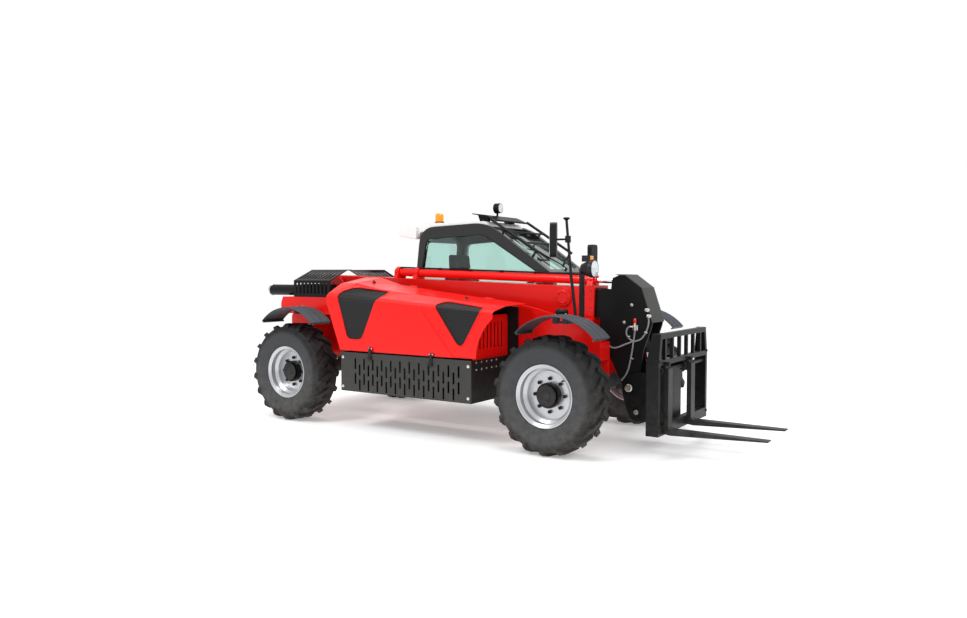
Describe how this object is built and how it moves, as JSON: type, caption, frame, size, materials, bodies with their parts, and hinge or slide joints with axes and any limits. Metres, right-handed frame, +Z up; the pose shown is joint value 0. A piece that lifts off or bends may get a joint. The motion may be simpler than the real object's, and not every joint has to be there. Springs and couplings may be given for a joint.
{
  "type": "telehandler",
  "caption": "Compact telescopic handler with side engine, offset cab, extending boom, tilting pallet forks and steered wheels.",
  "frame": {"origin": "on the ground under the middle of the machine's box", "axes": "+X forward towards the forks, +Y to the machine's left, +Z up"},
  "size_m": [5.7328, 2.14, 2.368],
  "materials": {
    "red_paint": "glossy red enamel",
    "black_paint": "satin black powder coat",
    "grey_paint": "dark grey textured powder coat",
    "axle_paint": "black painted casting",
    "rim_paint": "silver enamel",
    "tyre_rubber": "matt rubber",
    "rod_chrome": "polished hard chrome",
    "fork_steel": "worn black forged steel",
    "glass": "clear tinted safety glass",
    "fender_plastic": "moulded dark grey plastic",
    "roof_plastic": "white moulded shell",
    "cab_trim": "black grained plastic",
    "beacon_amber": "clear amber lens",
    "lamp_plastic": "clear lens in a black housing",
    "hose_rubber": "grey braided hose"
  },
  "bodies": {
    "chassis": {"frame": "red_paint", "front_wings": "red_paint", "side_carriers": "red_paint", "counterweight": "red_paint", "tow_hitch": "grey_paint", "engine_bay": "grey_paint", "engine": "axle_paint", "vent_panel": "red_paint", "front_axle": "axle_paint", "rear_axle": "axle_paint", "fenders": "fender_plastic", "rear_guard": "black_paint", "exhaust": "black_paint", "cab_frame": "black_paint", "cab_roof": "roof_plastic", "cab_glass": "glass", "cab_interior": "cab_trim", "fuel_tank": "black_paint", "roof_guard": "black_paint", "beacon": "beacon_amber", "mirrors": "cab_trim", "lamps": "lamp_plastic"},
    "door": {"cab_door": "black_paint", "door_glass": "glass"},
    "hood": {"hood": "red_paint", "hood_mesh": "black_paint"},
    "boom": {"boom_outer": "red_paint", "extend_barrel": "red_paint"},
    "inner_boom": {"boom_inner": "black_paint", "extend_rod": "rod_chrome", "head_shield": "grey_paint", "head_hoses": "hose_rubber", "tilt_barrel": "axle_paint"},
    "tilt_rod": {"tilt_rod": "rod_chrome"},
    "carriage": {"coupler": "black_paint", "fork_carriage": "black_paint", "fork_tines": "fork_steel"},
    "lift_barrel": {"lift_barrel": "axle_paint"},
    "lift_rod": {"lift_rod": "rod_chrome"},
    "knuckle_front_left": {"knuckle_front_left": "axle_paint"},
    "wheel_front_left": {"rim_front_left": "rim_paint", "tyre_front_left": "tyre_rubber"},
    "knuckle_front_right": {"knuckle_front_right": "axle_paint"},
    "wheel_front_right": {"rim_front_right": "rim_paint", "tyre_front_right": "tyre_rubber"},
    "knuckle_rear_left": {"knuckle_rear_left": "axle_paint"},
    "wheel_rear_left": {"rim_rear_left": "rim_paint", "tyre_rear_left": "tyre_rubber"},
    "knuckle_rear_right": {"knuckle_rear_right": "axle_paint"},
    "wheel_rear_right": {"rim_rear_right": "rim_paint", "tyre_rear_right": "tyre_rubber"}
  },
  "joints": [
    {"name": "boom_lift", "type": "hinge", "parent": "chassis", "child": "boom", "pos_m": [-2.21641, 0, 1.416], "axis": [0, -1, 0], "range_deg": [0, 65]},
    {"name": "boom_extend", "type": "slide", "parent": "boom", "child": "inner_boom", "axis": [0.9995, 0, -0.0332], "range_m": [0, 2.2]},
    {"name": "carriage_tilt", "type": "hinge", "parent": "inner_boom", "child": "carriage", "pos_m": [1.54141, 0, 0.53392], "axis": [0, 1, 0], "range_deg": [-12, 90]},
    {"name": "tilt_rod_slide", "type": "slide", "parent": "inner_boom", "child": "tilt_rod", "axis": [0.2021, 0, -0.9794], "range_m": [-0.04, 0.292]},
    {"name": "lift_barrel_swing", "type": "hinge", "parent": "chassis", "child": "lift_barrel", "pos_m": [-2.02241, 0, 0.692], "axis": [0, -1, 0], "range_deg": [0, 51]},
    {"name": "lift_rod_slide", "type": "slide", "parent": "lift_barrel", "child": "lift_rod", "axis": [0.9384, 0, 0.3456], "range_m": [0, 0.73]},
    {"name": "door_swing", "type": "hinge", "parent": "chassis", "child": "door", "pos_m": [-1.22441, 1.0465, 1.3], "axis": [0, 0, 1], "range_deg": [0, 100]},
    {"name": "hood_lift", "type": "hinge", "parent": "chassis", "child": "hood", "pos_m": [-0.46641, -0.406, 1.401], "axis": [-0.9933, 0, 0.1152], "range_deg": [0, 55]},
    {"name": "steer_front_left", "type": "hinge", "parent": "chassis", "child": "knuckle_front_left", "pos_m": [1.12359, 0.7025, 0.525], "axis": [0, 0, 1], "range_deg": [-30, 30]},
    {"name": "roll_front_left", "type": "hinge", "parent": "knuckle_front_left", "child": "wheel_front_left", "pos_m": [1.12359, 0.9025, 0.525], "axis": [0, 1, 0], "continuous": true},
    {"name": "steer_front_right", "type": "hinge", "parent": "chassis", "child": "knuckle_front_right", "pos_m": [1.12359, -0.7025, 0.525], "axis": [0, 0, 1], "range_deg": [-30, 30]},
    {"name": "roll_front_right", "type": "hinge", "parent": "knuckle_front_right", "child": "wheel_front_right", "pos_m": [1.12359, -0.9025, 0.525], "axis": [0, 1, 0], "continuous": true},
    {"name": "steer_rear_left", "type": "hinge", "parent": "chassis", "child": "knuckle_rear_left", "pos_m": [-2.05641, 0.7025, 0.525], "axis": [0, 0, -1], "range_deg": [-30, 30]},
    {"name": "roll_rear_left", "type": "hinge", "parent": "knuckle_rear_left", "child": "wheel_rear_left", "pos_m": [-2.05641, 0.9025, 0.525], "axis": [0, 1, 0], "continuous": true},
    {"name": "steer_rear_right", "type": "hinge", "parent": "chassis", "child": "knuckle_rear_right", "pos_m": [-2.05641, -0.7025, 0.525], "axis": [0, 0, -1], "range_deg": [-30, 30]},
    {"name": "roll_rear_right", "type": "hinge", "parent": "knuckle_rear_right", "child": "wheel_rear_right", "pos_m": [-2.05641, -0.9025, 0.525], "axis": [0, 1, 0], "continuous": true}
  ],
  "couplings": [
    {"joint": "tilt_rod_slide", "follows": "carriage_tilt", "m_per_rad": 0.18335},
    {"joint": "lift_barrel_swing", "follows": "boom_lift", "ratio": 0.78},
    {"joint": "lift_rod_slide", "follows": "boom_lift", "m_per_rad": 0.64171},
    {"joint": "steer_front_right", "follows": "steer_front_left", "ratio": 1},
    {"joint": "steer_rear_right", "follows": "steer_rear_left", "ratio": 1}
  ]
}
